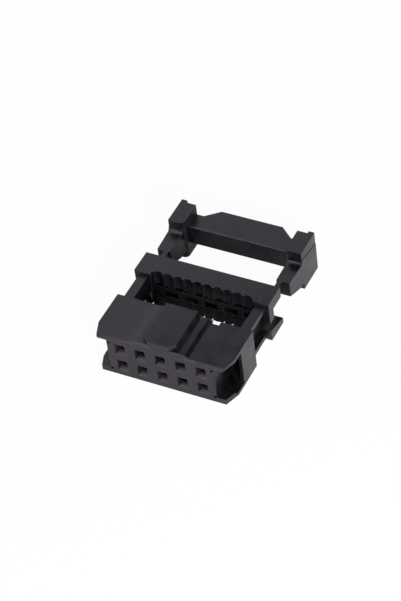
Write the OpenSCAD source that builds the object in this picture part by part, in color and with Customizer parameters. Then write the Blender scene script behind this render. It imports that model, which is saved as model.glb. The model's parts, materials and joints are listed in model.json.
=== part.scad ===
// Two-row insulation-displacement socket for ribbon cable, with its cover open and a strain relief.
// X runs along the rows, +Y from the mating face to the back and +Z to the polarising key.
// The origin is the middle of the contact grid on the mating face. Sizes are in millimetres.

/* [Grid] */
// Contacts in each of the two rows
columns = 5; // [3:1:8]
// Distance between neighbouring contacts, along and across the rows
grid_pitch = 2.54; // [2.5:0.01:2.6]
// Side of the square posts that the contacts take
post_w = 0.64; // [0.6:0.01:0.68]

/* [Overall] */
// Width of each end beyond the last contact's cell
end_w = 2.23; // [2.2:0.01:2.6]
// Thickness between the two long flat sides
socket_h = 5.7; // [5.6:0.05:6.4]

/* [Housing] */
// Depth from the mating face to the back
housing_d = 6.7; // [6.5:0.1:8]
// Thickness of the plates above and below the end channels
plate_t = 0.45; // [0.35:0.05:0.6]
// Depth of the lip behind the mating face
lip_d = 1.45; // [1.2:0.05:1.6]
// Thickness of the lower plate at the lip
lip_t = 0.75; // [0.65:0.05:0.9]
// How far the lip stands out of each channel's inner wall
lip_side = 0.4; // [0.2:0.05:0.5]
// Radius of the lip's upright edges
lip_r = 0.5; // [0.2:0.05:0.6]
// Width cut from each front corner
corner_x = 0.7; // [0.3:0.05:1]
// Depth cut from each front corner
corner_y = 1.9; // [1:0.1:2.5]
// Thickness of the bridge outside each channel
bridge_t = 0.45; // [0.35:0.05:0.6]
// Depth of each bridge, from the back
bridge_d = 3.25; // [2:0.05:4]
// Width of the four small notches beside the mating face's corners
notch_w = 0.5; // [0.3:0.05:0.6]
// Height of those notches
notch_h = 0.33; // [0.2:0.01:0.4]
// Depth of those notches
notch_d = 0.8; // [0.4:0.1:1.2]

/* [Polarising key] */
// Width of the key's top
key_w = 4; // [3.6:0.1:4.4]
// Height of the key above the plate
key_h = 1.16; // [0.9:0.02:1.4]
// How much wider the key is at its foot, on each side
key_draft = 0.25; // [0:0.05:0.4]
// Width of the flat front of the key's nose
nose_w = 2.4; // [1.6:0.1:3]
// Depth of the slanted cheeks of the nose
nose_d = 0.85; // [0.4:0.05:1.2]
// Width of the top of the shoulder that carries the key
shoulder_w = 6.3; // [5.4:0.1:7]
// Height of the shoulder above the plate
shoulder_h = 0.4; // [0.3:0.05:0.6]
// Width of the slanted side of the shoulder, to the right
shoulder_slope = 0.45; // [0.1:0.05:0.6]
// Width of the slanted side of the shoulder, to the left
shoulder_ease = 1.2; // [0.6:0.1:1.6]
// How far the key and its shoulder end before the housing's back
key_back = 0.35; // [0.1:0.05:0.6]
// Distance of the small notch in the upper plate's back edge from the middle
mark_x = 4.05; // [4:0.05:4.1]
// Width of that notch
mark_w = 1.1; // [0.8:0.1:1.2]
// Depth of that notch
mark_d = 0.75; // [0.4:0.05:0.9]
// Height of that notch
mark_h = 0.65; // [0.5:0.05:0.65]

/* [Post holes] */
// Width of a hole's mouth
mouth_w = 1.35; // [1.2:0.05:1.6]
// Height of a hole's mouth
mouth_h = 1.65; // [1.4:0.05:1.8]
// Depth of the tapered mouth
mouth_d = 0.7; // [0.4:0.05:0.8]
// Room around a post in the square hole behind the mouth
post_room = 0.13; // [0.08:0.01:0.16]
// Thickness of the front wall that holds each contact in
stop_t = 0.3; // [0.2:0.05:0.4]

/* [Contacts] */
// Thickness of the sheet metal
metal_t = 0.25; // [0.2:0.01:0.3]
// Width of the two beams that grip a post
beam_w = 0.8; // [0.7:0.05:0.9]
// How far each beam presses into the space of the post
beam_preload = 0.05; // [0.02:0.01:0.1]
// Distance from a beam's tip to its gripping bend
beam_lead = 0.8; // [0.6:0.05:1.2]
// How far the tip flares out from the gripping bend
beam_flare = 0.15; // [0.1:0.01:0.2]
// Depth of the folded box that joins the beams
box_d = 1.5; // [1:0.1:2]
// Distance of each row of forks from the middle plane
fork_rise = 0.6; // [0.5:0.05:0.7]
// Width of a fork
fork_w = 1.45; // [1.3:0.05:1.5]
// Depth of the slot that seats a fork in the housing's back
fork_seat = 1; // [0.6:0.1:1.4]
// How far a fork stands out of the housing's back
fork_reach = 2.1; // [1.8:0.1:2.3]
// Distance between the two points of a fork
fork_points = 1.1; // [0.9:0.05:1.2]
// Width of the slit that cuts the insulation
slit_w = 0.3; // [0.2:0.02:0.4]
// Height of the solid root of a fork above the housing's back
slit_root = 0.3; // [0.2:0.05:0.5]
// Length of a fork's pointed ends
point_len = 0.75; // [0.5:0.05:1]

/* [Cover] */
// Depth of the pressing bar
cover_d = 3.15; // [3:0.05:4]
// Gap between the housing and the open cover
cover_open = 4.2; // [4:0.1:5]
// How far the fluted face lies behind the bar's front
face_recess = 0.45; // [0.3:0.05:0.6]
// Depth of the wire flutes
flute_depth = 0.3; // [0.2:0.05:0.4]
// How far the crests below the middle lie behind those above it
low_back = 0.1; // [0.05:0.01:0.15]
// Depth of the wire flutes below the middle
low_depth = 0.08; // [0.05:0.01:0.15]
// Width of a wire flute
flute_w = 1; // [0.8:0.05:1.15]
// How far the fluted face runs past the last wire's space
comb_side = 0.15; // [0.05:0.05:0.3]
// Room above and below a fork in its slot
slot_room = 0.2; // [0.1:0.05:0.25]
// Room left beyond a fork's points when the cover is closed
slot_spare = 0.25; // [0.1:0.05:0.4]
// Thickness of each leg
leg_t = 1.15; // [0.9:0.05:1.15]
// How much thicker the inner side of a leg grows towards its end
leg_taper = 0.1; // [0.05:0.05:0.1]
// Thickness of the web inside a leg's recess
web_t = 0.25; // [0.2:0.05:0.3]
// Height of the rails above and below a leg's recess
rail_h = 0.65; // [0.4:0.05:0.8]
// Depth of the solid end of each leg
leg_end = 1.5; // [1:0.1:2]
// Slant of the end of each leg
leg_lead = 0.4; // [0.2:0.05:0.6]
// Depth of the stop at the front of each end pocket
stop_d = 1.1; // [0.8:0.05:1.3]
// Height of the ramp's front end below the middle plane
ramp_front = 1.3; // [1.2:0.05:1.6]
// Height of the ramp's back end below the middle plane
ramp_back = 2.1; // [1.8:0.05:2.3]

/* [Strain relief] */
// Gap between the cover and the end blocks, before closing
relief_open = 5.8; // [5.2:0.1:6.2]
// How far the blocks stand out beyond the ends of the cover
relief_over = 0.12; // [0:0.02:0.2]
// Width of each end block
block_w = 2.1; // [1.9:0.05:2.2]
// Depth of the end blocks
block_d = 3.5; // [3:0.1:4]
// Radius of each block's front edge on the cable's side
block_r = 0.6; // [0.3:0.05:0.8]
// How far the upper part of each block's outer side is set in
block_step = 0.06; // [0.04:0.01:0.15]
// Height of that step above the middle plane, at the block's front
step_front = 1.8; // [1.75:0.05:2]
// Height of that step above the middle plane, at the block's back
step_back = 1.1; // [0.8:0.05:1.5]
// Width of the rib on the back of each block
rib_w = 0.8; // [0.4:0.05:0.9]
// How far that rib stands out
rib_d = 0.35; // [0.2:0.05:0.5]
// Height of the bar between the blocks
bar_h = 2.7; // [2.4:0.1:3.2]
// Depth of the bar
bar_d = 2.25; // [1.6:0.05:2.4]
// Distance from the blocks' front to the bar's front
bar_inset = 1.2; // [0.8:0.1:1.8]
// Distance from each end block to the foot of the bar's back flange
flange_inset = 0.9; // [0.5:0.1:1.5]
// Width of each slanted end of the flange
flange_slant = 1.7; // [0.8:0.1:2]
// How far the flange stands out of the bar
flange_d = 1.42; // [0.8:0.02:1.8]
// Length of the arms, from the blocks' front
arm_len = 3.4; // [3:0.05:4]
// Thickness of the arms at the blocks
arm_root_t = 1.9; // [1.8:0.05:1.9]
// Thickness of the arms at their ends
arm_tip_t = 1.7; // [1.6:0.05:1.7]
// How far the outer side of an arm leans in towards its end
arm_toe = 0.14; // [0.1:0.02:0.2]
// Radius of the hollow between an arm's upper side and its block
arm_r = 0.5; // [0.2:0.05:0.5]
// Height of the arms' upper side above the middle plane
arm_top = 1.2; // [1:0.05:1.3]
// Height of the arms' lower side below the middle plane, at the blocks
arm_root_low = 1.85; // [1.4:0.05:2]
// Height of the arms' lower side below the middle plane, at their ends
arm_tip_low = 0.95; // [0.7:0.05:1.1]
// Depth of the level part of an arm's lower side, from the blocks' front
arm_level = 1; // [0.5:0.1:1.5]
// How far a latch tongue is set out from the inner side of its arm
tongue_set = 0.2; // [0.2:0.05:0.3]
// Thickness of the latch tongues
tongue_t = 0.6; // [0.6:0.05:0.7]
// Height of the latch tongues
tongue_h = 1.25; // [1:0.05:1.4]
// How far the tongues hold in the cover before closing
tongue_hold = 0.8; // [0.5:0.1:1.2]

/* [Fits] */
// Clearance on each side of a sliding piece
slide_fit = 0.1; // [0.05:0.01:0.15]
// Clearance around a contact in the housing
seat_fit = 0.05; // [0.03:0.01:0.08]
// Gap that stays where a closing piece meets its stop
close_gap = 0.1; // [0.05:0.05:0.2]
// Room between a leg's end and the lip when the cover is closed
leg_spare = 0.2; // [0.1:0.05:0.3]

/* [Hidden] */
$fn = 48;
plastic = "#2c2a2e";
tin = "#d9d8d3";
// How far a cutting shape runs past the face it cuts
cut = 0.05;
half_h = socket_h / 2;
half_w = columns * grid_pitch / 2 + end_w;
wire_pitch = grid_pitch / 2;
row_z = grid_pitch / 2;
fork_shift = wire_pitch / 2;

// End channels, from the outer bridge inwards
bridge_in = half_w - bridge_t;
leg_out = bridge_in - slide_fit;
leg_in = leg_out - leg_t;
core_half = leg_in - leg_taper - slide_fit;
lip_half = core_half + lip_side;
channel_half_h = half_h - plate_t;
leg_half_h = channel_half_h - slide_fit;

// Contacts, from the front stop to the fork's points
hole_w = post_w + 2 * post_room;
cavity_y = mouth_d + stop_t;
seat_y = housing_d - fork_seat;
fork_tip_y = housing_d + fork_reach;
beam_drop = row_z - fork_rise;
side_out = beam_w / 2 + metal_t;

// Cover, its travel and its legs
cover_y = housing_d + cover_open;
cover_back = cover_y + cover_d;
cover_travel = cover_open - close_gap;
crest_y = cover_y + face_recess;
comb_half = columns * grid_pitch / 2 + comb_side;
slot_half_w = fork_w / 2 + slide_fit;
slot_half_h = metal_t / 2 + slot_room;
slot_end = fork_tip_y + cover_travel + slot_spare;
leg_tip = lip_d + leg_spare + cover_travel;
recess_in = leg_in + web_t;
recess_half_h = leg_half_h - rail_h;
// Half the height of the flat middle of the fluted face
flat_half = fork_rise + slot_half_h;
flat_y = crest_y + flute_depth;
low_crest_y = crest_y + low_back;

// Strain relief and the cover's pocket that takes it
relief_y = cover_back + relief_open;
relief_half = half_w + relief_over;
block_in = relief_half - block_w;
bar_y = relief_y + bar_inset;
bar_back = bar_y + bar_d;
flange_foot = block_in - flange_inset;
flange_tip = flange_foot - flange_slant;
arm_y = relief_y - arm_len;
arm_root_in = relief_half - arm_root_t;
arm_out = relief_half - arm_toe;
arm_in = arm_out - arm_tip_t;
tongue_tip = cover_back - tongue_hold;
tongue_root_in = arm_in + tongue_set;
tongue_out = tongue_root_in + tongue_t;
tongue_low = arm_top - tongue_h;
tongue_in = recess_in + slide_fit;
pocket_in = arm_root_in - slide_fit;
pocket_top = arm_top + slide_fit;
stop_back = cover_y + stop_d;
stop_low = tongue_low - slide_fit;
// Where a tongue thins, so that it passes a leg's web when the strain relief is closed
tongue_step = cover_y + arm_y - stop_back;

// Place of a column, counted from 1
function column_x(i) = (i - (columns + 1) / 2) * grid_pitch;

// Draws its outline in X and Z, from the mating face backwards
module along_y(depth) {
    translate([0, depth, 0]) rotate([90, 0, 0]) linear_extrude(depth) children();
}

// Draws its outline in Y and Z, centred on X
module along_x(width) {
    rotate([90, 0, 90]) linear_extrude(width, center = true) children();
}

// Box between two corners
module block(low, high) {
    translate(low) cube(high - low);
}

// Repeats its children at the other end of the socket
module both_ends() {
    children();
    mirror([1, 0, 0]) children();
}

// Puts its children at one contact: row 1 is the upper row, row -1 the lower one, turned over
module at_contact(i, row) {
    translate([column_x(i), 0, 0]) rotate([0, row > 0 ? 0 : 180, 0]) children();
}

// Outline of the housing's plates, seen from above
module plate_outline() {
    polygon([
        [corner_x - half_w, 0], [half_w - corner_x, 0], [half_w, corner_y],
        [half_w, housing_d], [-half_w, housing_d], [-half_w, corner_y]
    ]);
}

// Outline of the lip around the post holes, with round upright edges
module lip_outline() {
    translate([lip_r - lip_half, 0]) square([2 * (lip_half - lip_r), lip_d]);
    translate([-lip_half, lip_r]) square([2 * lip_half, lip_d - lip_r]);
    for (side = [-1, 1]) translate([side * (lip_half - lip_r), lip_r]) circle(lip_r);
}

// Plates of the housing, the lower one thicker at the lip
module plates() {
    for (level = [-half_h, half_h - plate_t])
        translate([0, 0, level]) linear_extrude(plate_t) plate_outline();
    translate([0, 0, -half_h]) linear_extrude(lip_t) intersection() {
        plate_outline();
        translate([-half_w, 0]) square([2 * half_w, lip_d]);
    }
}

// Key on its shoulder, on the upper plate
module key() {
    depth = housing_d - key_back;
    left_foot = -shoulder_w / 2 - shoulder_ease;
    right_foot = shoulder_w / 2 + shoulder_slope;
    key_foot = key_w / 2 + key_draft;
    translate([0, 0, half_h]) {
        along_y(depth) polygon([
            [left_foot, -plate_t / 2], [left_foot, 0], [-shoulder_w / 2, shoulder_h],
            [shoulder_w / 2, shoulder_h], [right_foot, 0], [right_foot, -plate_t / 2]
        ]);
        intersection() {
            along_y(depth) polygon([
                [-key_foot, 0], [-key_foot, shoulder_h], [-key_w / 2, key_h],
                [key_w / 2, key_h], [key_foot, shoulder_h], [key_foot, 0]
            ]);
            linear_extrude(key_h) polygon([
                [-nose_w / 2, 0], [nose_w / 2, 0], [key_foot, nose_d],
                [key_foot, depth], [-key_foot, depth], [-key_foot, nose_d]
            ]);
        }
    }
}

// Space of one contact: tapered mouth, square hole, cavity and the slot that seats the fork
module contact_space() {
    translate([0, 0, row_z]) {
        intersection() {
            along_x(mouth_w) polygon([
                [-cut, -mouth_h / 2], [0, -mouth_h / 2], [mouth_d, -hole_w / 2],
                [mouth_d, hole_w / 2], [0, mouth_h / 2], [-cut, mouth_h / 2]
            ]);
            linear_extrude(mouth_h, center = true) polygon([
                [-mouth_w / 2, -cut], [mouth_w / 2, -cut], [mouth_w / 2, 0],
                [hole_w / 2, mouth_d], [-hole_w / 2, mouth_d], [-mouth_w / 2, 0]
            ]);
        }
        block([-hole_w / 2, mouth_d - cut, -hole_w / 2], [hole_w / 2, cavity_y + cut, hole_w / 2]);
        cavity_half = beam_drop + metal_t / 2 + seat_fit;
        block(
            [-beam_w / 2 - seat_fit, cavity_y, -cavity_half],
            [side_out + seat_fit, housing_d + cut, cavity_half]
        );
    }
    fork_half = metal_t / 2 + seat_fit;
    block(
        [-fork_shift - fork_w / 2 - seat_fit, seat_y, fork_rise - fork_half],
        [side_out + seat_fit, housing_d + cut, fork_rise + fork_half]
    );
}

module housing() {
    color(plastic) difference() {
        union() {
            plates();
            key();
            block([-core_half, 0, -half_h], [core_half, housing_d, half_h]);
            translate([0, 0, -half_h]) linear_extrude(socket_h) lip_outline();
            both_ends() block(
                [bridge_in, housing_d - bridge_d, -half_h],
                [half_w, housing_d, half_h]
            );
        }
        core_corners();
        for (i = [1:columns], row = [1, -1]) at_contact(i, row) contact_space();
        for (side = [-1, 1], level = [-1, 1])
            translate([side * (lip_half - lip_r), 0, level * (half_h - lip_t)])
                block([-notch_w / 2, -cut, -notch_h / 2], [notch_w / 2, notch_d, notch_h / 2]);
        block(
            [mark_x - mark_w / 2, housing_d - mark_d, half_h - mark_h],
            [mark_x + mark_w / 2, housing_d + cut, half_h + cut]
        );
    }
}

// What the lip's round edges leave off the front of the core, between the plates
module core_corners() {
    height = socket_h - lip_t - plate_t;
    both_ends() translate([0, 0, lip_t - half_h]) linear_extrude(height) difference() {
        translate([lip_half - lip_r, -cut]) square([lip_r + cut, lip_r + cut]);
        translate([lip_half - lip_r, lip_r]) circle(lip_r);
        translate([lip_half - lip_r, lip_r]) square([lip_r + 2 * cut, lip_r]);
    }
}

// One gripping beam from the side: the box's wall, the gripping bend and the flared tip
module beam_profile() {
    tip_y = cavity_y + seat_fit;
    grip = post_w / 2 - beam_preload + metal_t / 2;
    line = [
        [tip_y, grip + beam_flare], [tip_y + beam_lead, grip],
        [seat_y - box_d, beam_drop], [seat_y, beam_drop]
    ];
    last = len(line) - 1;
    polygon(concat(
        [for (p = line) p + [0, metal_t / 2]],
        [for (k = [last:-1:0]) line[k] - [0, metal_t / 2]]
    ));
}

// Fork from above, with its slit and two points
module fork_outline() {
    root = housing_d + slit_root;
    shoulder = fork_tip_y - point_len;
    translate([-fork_shift, 0]) difference() {
        polygon([
            [-fork_w / 2, seat_y + seat_fit], [-fork_w / 2, shoulder], [-fork_points / 2, fork_tip_y],
            [-slit_w / 2, shoulder], [-slit_w / 2, root], [slit_w / 2, root],
            [slit_w / 2, shoulder], [fork_points / 2, fork_tip_y], [fork_w / 2, shoulder],
            [fork_w / 2, seat_y + seat_fit]
        ]);
        translate([0, root]) circle(slit_w / 2);
    }
}

// One stamped contact: two beams on a folded box, and the fork on the inner beam's plane
module contact(i, row) {
    color(tin) at_contact(i, row) {
        translate([0, 0, row_z]) {
            for (side = [0, 1]) mirror([0, 0, side]) along_x(beam_w) beam_profile();
            block(
                [beam_w / 2 - metal_t / 2, seat_y - box_d, -beam_drop - metal_t / 2],
                [side_out, seat_y, beam_drop + metal_t / 2]
            );
        }
        translate([0, 0, fork_rise - metal_t / 2]) linear_extrude(metal_t) {
            fork_outline();
            translate([-beam_w / 2, seat_y - box_d])
                square([beam_w / 2 + side_out, box_d + fork_seat / 2]);
        }
    }
}

// Leg of the cover: upper and lower rails around a recess in its outer side, and a slanted end
module leg() {
    difference() {
        translate([0, 0, -leg_half_h]) linear_extrude(2 * leg_half_h) polygon([
            [leg_in, cover_y + cut], [leg_in - leg_taper, leg_tip + leg_lead],
            [leg_in + leg_lead / 2, leg_tip], [leg_out - leg_lead / 2, leg_tip],
            [leg_out, leg_tip + leg_lead], [leg_out, cover_y + cut]
        ]);
        block(
            [recess_in, leg_tip + leg_end, -recess_half_h],
            [leg_out + cut, cover_y, recess_half_h]
        );
    }
}

// Round grooves that hold the wires, above the flat middle, cut from the given crests
module flutes(crest, depth) {
    radius = (pow(flute_w / 2, 2) + pow(depth, 2)) / (2 * depth);
    intersection() {
        block([-comb_half, cover_y, flat_half - cut], [comb_half, flat_y, half_h + cut]);
        for (k = [1:2 * columns])
            translate([(k - columns) * wire_pitch - fork_shift, crest + depth - radius, 0])
                cylinder(r = radius, h = socket_h);
    }
}

// Fluted face that presses the wires onto the forks, as what it leaves off the bar's front
module comb_space() {
    block([-comb_half, cover_y - cut, -half_h - cut], [comb_half, crest_y, half_h + cut]);
    block([-comb_half, cover_y, -flat_half], [comb_half, flat_y, flat_half]);
    block([-comb_half, cover_y, -half_h - cut], [comb_half, low_crest_y, -flat_half]);
    flutes(crest_y, flute_depth);
    mirror([0, 0, 1]) flutes(low_crest_y, low_depth);
}

// Pocket at the right-hand end: open to the back, with a stop in front and a ramp below
module end_pocket() {
    width = half_w - pocket_in + cut;
    translate([pocket_in + width / 2, 0, 0]) along_x(width) polygon([
        [cover_back + cut, pocket_top], [stop_back, pocket_top], [stop_back, stop_low],
        [cover_y - cut, stop_low], [cover_y - cut, -ramp_front], [cover_y, -ramp_front],
        [cover_back, -ramp_back], [cover_back + cut, -ramp_back]
    ]);
    block(
        [tongue_root_in - slide_fit, cover_y - cut, stop_low - cut],
        [tongue_out + slide_fit, stop_back + cut, pocket_top]
    );
}

module cover() {
    color(plastic) difference() {
        union() {
            block([-half_w, cover_y, -half_h], [half_w, cover_back, half_h]);
            both_ends() leg();
        }
        comb_space();
        for (i = [1:columns], row = [1, -1]) at_contact(i, row)
            translate([-fork_shift, 0, fork_rise])
                block([-slot_half_w, cover_y, -slot_half_h], [slot_half_w, slot_end, slot_half_h]);
        both_ends() end_pocket();
    }
}

// Outline of an end block from above, out to the given width, with its round edge and its back rib
module block_outline(outer) {
    round_x = block_in + block_r;
    translate([round_x, relief_y]) square([outer - round_x, block_d]);
    translate([block_in, relief_y + block_r]) square([2 * block_r, block_d - block_r]);
    translate([round_x, relief_y + block_r]) circle(block_r);
    translate([relief_half - rib_w, relief_y + block_r])
        square([outer + rib_w - relief_half, block_d - block_r + rib_d]);
}

// End block, with a slanted step across its outer side
module end_block() {
    step_x = relief_half - block_step;
    back = relief_y + block_d + rib_d;
    translate([0, 0, -half_h]) linear_extrude(socket_h) block_outline(step_x);
    translate([step_x, 0, 0]) along_x(2 * block_step) polygon([
        [relief_y, -half_h], [back, -half_h], [back, step_back], [relief_y, step_front]
    ]);
}

// Arm from the side: slanted below, and hollowed out where it meets its block
module arm_profile() {
    root = relief_y + block_r;
    difference() {
        polygon([
            [root, arm_top + arm_r], [relief_y - arm_r, arm_top + arm_r], [relief_y - arm_r, arm_top],
            [arm_y, arm_top], [arm_y, -arm_tip_low], [relief_y - arm_level, -arm_root_low],
            [root, -arm_root_low]
        ]);
        translate([relief_y - arm_r, arm_top + arm_r]) circle(arm_r);
    }
}

// Arm that leans in towards its end, and the stepped latch tongue that runs in the cover's pocket
module arm() {
    intersection() {
        translate([arm_root_in + arm_root_t / 2, 0, 0]) along_x(arm_root_t) arm_profile();
        translate([0, 0, -half_h]) linear_extrude(socket_h) polygon([
            [arm_root_in, relief_y + block_r], [arm_in, arm_y], [arm_out, arm_y],
            [relief_half, relief_y], [relief_half, relief_y + block_r]
        ]);
    }
    block([tongue_in, tongue_tip, tongue_low], [tongue_out, arm_y + cut, arm_top]);
    block([tongue_root_in, tongue_step, tongue_low], [tongue_out, arm_y + cut, arm_top]);
}

module strain_relief() {
    color(plastic) {
        both_ends() {
            end_block();
            arm();
        }
        translate([0, 0, -bar_h / 2]) linear_extrude(bar_h) {
            translate([-block_in - cut, bar_y]) square([2 * (block_in + cut), bar_d]);
            polygon([
                [-flange_foot, bar_back - cut], [-flange_foot, bar_back],
                [-flange_tip, bar_back + flange_d], [flange_tip, bar_back + flange_d],
                [flange_foot, bar_back], [flange_foot, bar_back - cut]
            ]);
        }
    }
}

housing();
cover();
strain_relief();
for (i = [1:columns]) contact(i, 1);
for (i = [1:columns]) contact(i, -1);
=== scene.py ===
"""Looks of an open ribbon cable socket: moulded black plastic, tin-plated contacts, white studio."""
import json
import math

import bmesh
import bpy
from mathutils import Matrix, Vector

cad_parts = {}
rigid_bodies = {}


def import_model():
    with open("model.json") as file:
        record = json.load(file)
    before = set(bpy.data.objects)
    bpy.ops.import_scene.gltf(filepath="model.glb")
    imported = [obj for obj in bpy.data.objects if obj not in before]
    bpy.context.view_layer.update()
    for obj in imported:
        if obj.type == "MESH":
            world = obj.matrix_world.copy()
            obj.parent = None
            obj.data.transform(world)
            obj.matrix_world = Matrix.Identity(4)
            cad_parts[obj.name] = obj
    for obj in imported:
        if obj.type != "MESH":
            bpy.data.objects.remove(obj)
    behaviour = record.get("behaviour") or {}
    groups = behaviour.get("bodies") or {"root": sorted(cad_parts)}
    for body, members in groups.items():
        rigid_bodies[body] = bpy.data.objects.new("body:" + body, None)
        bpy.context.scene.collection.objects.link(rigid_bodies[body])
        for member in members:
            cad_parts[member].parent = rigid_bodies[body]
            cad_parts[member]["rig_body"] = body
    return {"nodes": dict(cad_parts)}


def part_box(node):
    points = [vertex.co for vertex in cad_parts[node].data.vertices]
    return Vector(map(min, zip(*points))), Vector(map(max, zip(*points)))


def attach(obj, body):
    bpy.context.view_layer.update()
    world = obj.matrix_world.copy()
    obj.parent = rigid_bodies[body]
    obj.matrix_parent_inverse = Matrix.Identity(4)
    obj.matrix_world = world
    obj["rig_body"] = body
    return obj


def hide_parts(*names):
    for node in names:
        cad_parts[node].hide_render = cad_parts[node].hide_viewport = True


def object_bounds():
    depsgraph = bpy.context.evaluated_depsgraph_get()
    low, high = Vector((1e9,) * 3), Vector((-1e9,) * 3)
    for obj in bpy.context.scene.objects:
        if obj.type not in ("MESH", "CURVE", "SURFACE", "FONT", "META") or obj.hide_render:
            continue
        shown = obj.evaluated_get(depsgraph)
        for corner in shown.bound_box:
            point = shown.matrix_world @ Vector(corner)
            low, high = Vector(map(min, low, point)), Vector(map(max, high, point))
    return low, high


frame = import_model()
cad_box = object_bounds()

MM = 0.001
WHITE = (1, 1, 1, 1)
BLACK = (0, 0, 0, 1)

# Camera: the point that it looks at, in the part's frame, and its place around it
IMAGE_HEIGHT_PX = 601
FOCAL_LENGTH_PX = 2259.6
SENSOR = 36.0
CAMERA_AIM = Vector((-2.10, 13.92, -2.85)) * MM
CAMERA_DISTANCE = 265.27 * MM
CAMERA_AZIMUTH = math.radians(31.538)
CAMERA_ELEVATION = math.radians(44.559)
CAMERA_ROLL = math.radians(-8.168)
# It sees from this many times nearer than its distance to this many times farther
CAMERA_RANGE = 100

# Radius of the moulded edges of each plastic piece, and of the stamped edges of the contacts
EDGE_RADIUS = {"housing": 0.04 * MM, "cover": 0.035 * MM, "strain_relief": 0.05 * MM}
STAMPED_RADIUS = 0.015 * MM
EDGE_SEGMENTS = 2
ROUND_PROFILE = 0.5
# Name of the value that is 1 on the rounded faces, for the plastic's edges, which are painted paler,
# partly as wear and partly as a painted highlight
EDGE_MARK = "edge"
# An edge that turns by more than the first is sharp, and faces that turn by less than the second are one
SHARP_ANGLE = math.radians(25)
FLAT_ANGLE = math.radians(2)
# Corners this close are one corner, in the solid's mesh and then in the rounded one
MERGE_DISTANCE = 0.002 * MM
WELD_DISTANCE = 0.0005 * MM

# Front edges that the mould rounds more, in mm: their Y, their lowest and highest Z, and the radius
SOFT_EDGES = {
    "housing": [(0, 2.85, 3.25, 0.3)],
    "cover": [(10.9, 2.85, 2.85, 0.12)],
    "strain_relief": [(21.05, 1.35, 1.35, 0.2)],
}
SOFT_SEGMENTS = 4

# Ends of the housing's lip, in mm, which the photo shows slimmer and less round than the solid has
# them: where they start in X, how far out, deep and high the solid's reach, the radius of its round
# edges, and the share that is left
LIP_START = 6.58
LIP_OUT = 0.5
LIP_DEPTH = 1.45
LIP_HEIGHTS = (-2.3, 2.4)
LIP_ROUND = 0.5
LIP_SHARE = 0.4
# How far out the core behind the lip reaches at most
CORE_OUT = 0.2

# How far from these places, in mm, a corner still counts as being there
TOLERANCE = 0.01

# The limits that most values of a noise lie between
NOISE_LIMITS = (0.3, 0.7)

# Plastic: smudges of handling, specks of dust, grain of the mould, and edges painted lighter, partly as
# wear and partly as a painted highlight
PLASTIC_DARK = (0.0010, 0.0010, 0.0015, 1)
PLASTIC_LIGHT = (0.0086, 0.0070, 0.0084, 1)
PLASTIC_WEAR_AND_HIGHLIGHT = (0.020, 0.018, 0.021, 1)
PLASTIC_IOR = 1.51
PLASTIC_TINT = (0.92, 0.83, 1.0, 1)
PLASTIC_ROUGHNESS = (0.23, 0.40)
WEAR_AND_HIGHLIGHT_SHARE = (0.3, 1)
DUST = (0.11, 0.105, 0.11, 1)
DUST_SPACING = 0.9 * MM
DUST_SIZE = 0.05 * MM
GRAIN_DEPTH = 0.006 * MM
GRAIN_STRENGTH = 0.35
# Its patterns: size, and how much finer detail they have
SMUDGE_PATTERN = (2.2 * MM, 3)
WEAR_AND_HIGHLIGHT_PATTERN = (0.9 * MM, 2)
GRAIN_PATTERN = (0.09 * MM, 1)

# Tin: cloudy plating over fine rolling marks along the strip
TIN_CLEAR = (0.83, 0.82, 0.79, 1)
TIN_CLOUDY = (0.70, 0.69, 0.66, 1)
TIN_ROUGHNESS = (0.2, 0.38)
ROLLING_STRETCH = 0.05
# Its patterns: size, and how much finer detail they have
CLOUD_PATTERN = (0.4 * MM, 2)
ROLLING_PATTERN = (0.03 * MM, 1)

# Studio: a floor a hair below the part, and the light that white surroundings give to what isn't glossy
FLOOR_SIZE = 900 * MM
FLOOR_GAP = 0.01 * MM
FLOOR_WHITE = 0.9
FLOOR_ROUGHNESS = 0.9
FLOOR_GLOW = 0.96
WORLD_FILL = 0.36
# Soft lamp: place, point that it faces, side and power
SOFTBOX_PLACE = Vector((150, -140, 99)) * MM
SOFTBOX_AIM = Vector((0, 10, 0)) * MM
SOFTBOX_SIDE = 100 * MM
SOFTBOX_WATTS = 0.82
# Cards that only reflections see: place, point that it faces, turn about that line, side and
# brightness against the white around
CARDS = [
    (Vector((-1, 30, 45)) * MM, Vector((-1, 30, 0)) * MM, math.radians(51), 40 * MM, 0.22),
    (Vector((27.7, 24.5, 16.1)) * MM, Vector((3.2, 3.3, 3.05)) * MM, 0, 26 * MM, 0.03),
    (Vector((-66, -115, 105)) * MM, Vector((0, 10, 0)) * MM, 0, 105 * MM, 2.4),
    (Vector((-46, 12, 115)) * MM, Vector((0, 12, 0)) * MM, 0, 62 * MM, 1.9),
    (Vector((-30, 65, 11)) * MM, Vector((-7, 11, -1)) * MM, 0, 36 * MM, 0.03),
]


def new_material(name):
    """A plain node material, as (material, node tree, Principled shader)."""
    material = bpy.data.materials.new(name)
    material.use_nodes = True
    tree = material.node_tree
    return material, tree, tree.nodes["Principled BSDF"]


def feed(tree, value, socket):
    """Gives a socket a constant or the output of a node."""
    if isinstance(value, bpy.types.NodeSocket):
        tree.links.new(value, socket)
    else:
        socket.default_value = value


def calculated(tree, operation, first, second):
    """Result of an operation on two values, each a constant or the output of a node."""
    node = tree.nodes.new("ShaderNodeMath")
    node.operation = operation
    feed(tree, first, node.inputs[0])
    feed(tree, second, node.inputs[1])
    return node.outputs[0]


def mixed(tree, share, first, second):
    """Colour between two colours, each a constant or the output of a node."""
    node = tree.nodes.new("ShaderNodeMix")
    node.data_type = "RGBA"
    tree.links.new(share, node.inputs["Factor"])
    sockets = [socket for socket in node.inputs if socket.type == "RGBA"]
    for colour, socket in zip((first, second), sockets):
        feed(tree, colour, socket)
    return next(socket for socket in node.outputs if socket.type == "RGBA")


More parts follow.
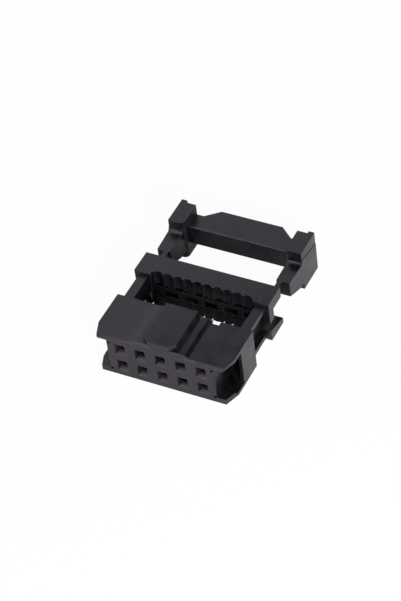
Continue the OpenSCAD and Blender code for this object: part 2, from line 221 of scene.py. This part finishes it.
def noise(tree, place, pattern):
    """Noise from 0 to 1, with features of the pattern's size."""
    size, detail = pattern
    node = tree.nodes.new("ShaderNodeTexNoise")
    node.inputs["Scale"].default_value = 1 / size
    node.inputs["Detail"].default_value = detail
    tree.links.new(place, node.inputs["Vector"])
    return node.outputs["Fac"]


def stretched(tree, value, limits):
    """A noise, stretched from where most of its values lie to the two limits."""
    node = tree.nodes.new("ShaderNodeMapRange")
    node.inputs["From Min"].default_value, node.inputs["From Max"].default_value = NOISE_LIMITS
    node.inputs["To Min"].default_value, node.inputs["To Max"].default_value = limits
    tree.links.new(value, node.inputs["Value"])
    return node.outputs["Result"]


def dust(tree, place):
    """1 in a few scattered specks, and 0 elsewhere."""
    cells = tree.nodes.new("ShaderNodeTexVoronoi")
    cells.inputs["Scale"].default_value = 1 / DUST_SPACING
    tree.links.new(place, cells.inputs["Vector"])
    return calculated(tree, "LESS_THAN", cells.outputs["Distance"], DUST_SIZE / DUST_SPACING)


def black_plastic():
    """Semi-gloss black moulding compound: smudged, dusty, finely grained, and painted paler along its
    edges, partly as wear and partly as a painted highlight.
    """
    material, tree, shader = new_material("black_plastic")
    place = tree.nodes.new("ShaderNodeTexCoord").outputs["Object"]
    smudge = noise(tree, place, SMUDGE_PATTERN)
    body = mixed(tree, stretched(tree, smudge, (0, 1)), PLASTIC_DARK, PLASTIC_LIGHT)
    edge = tree.nodes.new("ShaderNodeAttribute")
    edge.attribute_name = EDGE_MARK
    # The rounded faces are painted paler in patches: partly wear, partly a painted highlight along the
    # edges
    patches = stretched(tree, noise(tree, place, WEAR_AND_HIGHLIGHT_PATTERN), WEAR_AND_HIGHLIGHT_SHARE)
    worn_and_highlit = mixed(tree, calculated(tree, "MULTIPLY", edge.outputs["Fac"], patches), body, PLASTIC_WEAR_AND_HIGHLIGHT)
    tree.links.new(mixed(tree, dust(tree, place), worn_and_highlit, DUST), shader.inputs["Base Color"])
    tree.links.new(stretched(tree, smudge, PLASTIC_ROUGHNESS), shader.inputs["Roughness"])
    grain = tree.nodes.new("ShaderNodeBump")
    grain.inputs["Strength"].default_value = GRAIN_STRENGTH
    grain.inputs["Distance"].default_value = GRAIN_DEPTH
    tree.links.new(noise(tree, place, GRAIN_PATTERN), grain.inputs["Height"])
    tree.links.new(grain.outputs["Normal"], shader.inputs["Normal"])
    shader.inputs["IOR"].default_value = PLASTIC_IOR
    shader.inputs["Specular Tint"].default_value = PLASTIC_TINT
    return material


def tin_plate():
    """Tin plating on stamped strip: slightly cloudy, with rolling marks along the strip."""
    material, tree, shader = new_material("tin_plate")
    place = tree.nodes.new("ShaderNodeTexCoord").outputs["Object"]
    cloud = stretched(tree, noise(tree, place, CLOUD_PATTERN), (0, 1))
    tree.links.new(mixed(tree, cloud, TIN_CLEAR, TIN_CLOUDY), shader.inputs["Base Color"])
    strip = tree.nodes.new("ShaderNodeMapping")
    strip.inputs["Scale"].default_value = (1, ROLLING_STRETCH, 1)
    tree.links.new(place, strip.inputs["Vector"])
    rolling = noise(tree, strip.outputs["Vector"], ROLLING_PATTERN)
    tree.links.new(stretched(tree, rolling, TIN_ROUGHNESS), shader.inputs["Roughness"])
    shader.inputs["Metallic"].default_value = 1
    return material


def thing_of(form, name, material):
    """An object in the scene with this form, which is used up."""
    mesh = bpy.data.meshes.new(name)
    form.to_mesh(mesh)
    form.free()
    mesh.materials.append(material)
    thing = bpy.data.objects.new(name, mesh)
    bpy.context.scene.collection.objects.link(thing)
    return thing


def is_sharp(edge):
    """Whether an edge sticks out and turns enough to be rounded."""
    return edge.calc_face_angle_signed() > SHARP_ANGLE


def lies_on(edge, y, bottom, top):
    """Whether an edge lies on the plane at this Y, between the two heights, all in mm."""
    corners = [vertex.co / MM for vertex in edge.verts]
    return all(
        abs(corner.y - y) < TOLERANCE and bottom - TOLERANCE < corner.z < top + TOLERANCE
        for corner in corners
    )


def bevel(form, edges, radius, segments, mark):
    """Rounds the edges to a radius, and marks the faces that this makes."""
    made = bmesh.ops.bevel(
        form, geom=edges, offset=radius, offset_type="OFFSET", segments=segments,
        profile=ROUND_PROFILE, affect="EDGES", clamp_overlap=False,
    )
    for face in made["faces"]:
        face[mark] = 1.0


def slim_lip(form):
    """Draws in the ends of the housing's lip with their round edges and small notches."""
    bottom, top = LIP_HEIGHTS
    for vertex in form.verts:
        x, y, z = vertex.co / MM
        out = abs(x) - LIP_START
        in_front = y < LIP_ROUND
        if not (TOLERANCE < out < LIP_OUT + TOLERANCE and bottom < z < top + TOLERANCE):
            continue
        if in_front or (out > CORE_OUT and y < LIP_DEPTH + TOLERANCE):
            x = math.copysign(LIP_START + out * LIP_SHARE, x)
            vertex.co = Vector((x, y * LIP_SHARE if in_front else y, z)) * MM


def round_edges(form, node, radius):
    """Rounds a form's sharp edges: the soft ones that are named for its node, then the others."""
    mark = form.faces.layers.float.new(EDGE_MARK)
    for y, bottom, top, soft_radius in SOFT_EDGES.get(node, []):
        soft = [edge for edge in form.edges if is_sharp(edge) and lies_on(edge, y, bottom, top)]
        bevel(form, soft, soft_radius * MM, SOFT_SEGMENTS, mark)
    others = [
        edge for edge in form.edges
        if is_sharp(edge) and not any(face[mark] for face in edge.link_faces)
    ]
    bevel(form, others, radius, EDGE_SEGMENTS, mark)


def rounded(node, radius, material):
    """Stands for a CAD node with the same form, its sharp edges rounded to a small radius."""
    source = frame["nodes"][node]
    form = bmesh.new()
    form.from_mesh(source.data)
    if node == "housing":
        slim_lip(form)
    bmesh.ops.remove_doubles(form, verts=form.verts, dist=MERGE_DISTANCE)
    bmesh.ops.dissolve_limit(form, angle_limit=FLAT_ANGLE, verts=form.verts, edges=form.edges)
    round_edges(form, node, radius)
    low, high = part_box(node)
    for vertex in form.verts:
        vertex.co = [min(max(c, a), b) for c, a, b in zip(vertex.co, low, high)]
    bmesh.ops.remove_doubles(form, verts=form.verts, dist=WELD_DISTANCE)
    for face in form.faces:
        face.smooth = True
    for edge in form.edges:
        edge.smooth = edge.calc_face_angle_signed() > -SHARP_ANGLE
    piece = thing_of(form, node + "_moulding", material)
    normals = piece.modifiers.new("flat faces stay flat", "WEIGHTED_NORMAL")
    normals.keep_sharp = True
    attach(piece, source["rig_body"])
    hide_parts(node)


def square(name, side, material):
    """A flat square in the scene."""
    form = bmesh.new()
    bmesh.ops.create_grid(form, x_segments=1, y_segments=1, size=side / 2)
    return thing_of(form, name, material)


def facing(place, way, turn=0):
    """Matrix of a camera, lamp or card at a place that faces a way, turned about that line."""
    aim = way.to_track_quat("-Z", "Y").to_matrix().to_4x4()
    return Matrix.Translation(place) @ aim @ Matrix.Rotation(turn, 4, "Z")


def place_camera():
    """The photograph's view: azimuth, elevation and a roll about the line of sight."""
    sight = Vector((
        -math.sin(CAMERA_AZIMUTH) * math.cos(CAMERA_ELEVATION),
        math.cos(CAMERA_AZIMUTH) * math.cos(CAMERA_ELEVATION),
        -math.sin(CAMERA_ELEVATION),
    ))
    data = bpy.data.cameras.new("camera")
    data.sensor_width = SENSOR
    data.lens = SENSOR * FOCAL_LENGTH_PX / IMAGE_HEIGHT_PX
    data.clip_start = CAMERA_DISTANCE / CAMERA_RANGE
    data.clip_end = CAMERA_DISTANCE * CAMERA_RANGE
    eye = bpy.data.objects.new("camera", data)
    eye.matrix_world = facing(CAMERA_AIM - sight * CAMERA_DISTANCE, sight, CAMERA_ROLL)
    bpy.context.scene.collection.objects.link(eye)
    bpy.context.scene.camera = eye


def white_ray(tree):
    """1 for rays that see the background as white: from the camera, off gloss and through glass."""
    path = tree.nodes.new("ShaderNodeLightPath").outputs
    seen = calculated(tree, "MAXIMUM", path["Is Camera Ray"], path["Is Glossy Ray"])
    return calculated(tree, "MAXIMUM", seen, path["Is Transmission Ray"])


def surround():
    """White surroundings, which light the scene less than they show."""
    world = bpy.data.worlds.new("studio")
    world.use_nodes = True
    tree = world.node_tree
    background = tree.nodes["Background"]
    strength = tree.nodes.new("ShaderNodeMapRange")
    strength.inputs["To Min"].default_value = WORLD_FILL
    strength.inputs["To Max"].default_value = 1
    tree.links.new(white_ray(tree), strength.inputs["Value"])
    tree.links.new(strength.outputs["Result"], background.inputs["Strength"])
    background.inputs["Color"].default_value = WHITE
    bpy.context.scene.world = world


def lay_floor():
    """A white floor that keeps a faint shadow, because the camera sees it glow as well."""
    material, tree, shader = new_material("floor")
    shader.inputs["Base Color"].default_value = (FLOOR_WHITE, FLOOR_WHITE, FLOOR_WHITE, 1)
    shader.inputs["Roughness"].default_value = FLOOR_ROUGHNESS
    seen = tree.nodes.new("ShaderNodeLightPath").outputs["Is Camera Ray"]
    glow = tree.nodes.new("ShaderNodeEmission")
    mix = tree.nodes.new("ShaderNodeMixShader")
    tree.links.new(calculated(tree, "MULTIPLY", seen, FLOOR_GLOW), mix.inputs["Fac"])
    tree.links.new(shader.outputs[0], mix.inputs[1])
    tree.links.new(glow.outputs[0], mix.inputs[2])
    tree.links.new(mix.outputs[0], tree.nodes["Material Output"].inputs["Surface"])
    floor = square("floor", FLOOR_SIZE, material)
    low, high = cad_box
    middle = (low + high) / 2
    floor.location = (middle.x, middle.y, low.z - FLOOR_GAP)


def hang_softbox():
    """The soft lamp, which reflections don't see."""
    lamp = bpy.data.lights.new("softbox", "AREA")
    lamp.size = SOFTBOX_SIDE
    lamp.energy = SOFTBOX_WATTS
    box = bpy.data.objects.new("softbox", lamp)
    box.matrix_world = facing(SOFTBOX_PLACE, SOFTBOX_AIM - SOFTBOX_PLACE)
    box.visible_glossy = False
    bpy.context.scene.collection.objects.link(box)


def stand_cards():
    """The cards, which cast no shadow and light nothing."""
    for number, (stand, target, turn, side, brightness) in enumerate(CARDS, 1):
        name = "card_%d" % number
        material, _, shader = new_material(name)
        shader.inputs["Base Color"].default_value = BLACK
        shader.inputs["Emission Color"].default_value = WHITE
        shader.inputs["Emission Strength"].default_value = brightness
        card = square(name, side, material)
        card.matrix_world = facing(stand, target - stand, turn)
        card.visible_camera = False
        card.visible_diffuse = False
        card.visible_shadow = False


place_camera()
surround()
lay_floor()
hang_softbox()
stand_cards()
plastic = black_plastic()
tin = tin_plate()
for node in frame["nodes"]:
    if node in EDGE_RADIUS:
        rounded(node, EDGE_RADIUS[node], plastic)
    else:
        rounded(node, STAMPED_RADIUS, tin)
bpy.context.scene.view_settings.view_transform = "Standard"
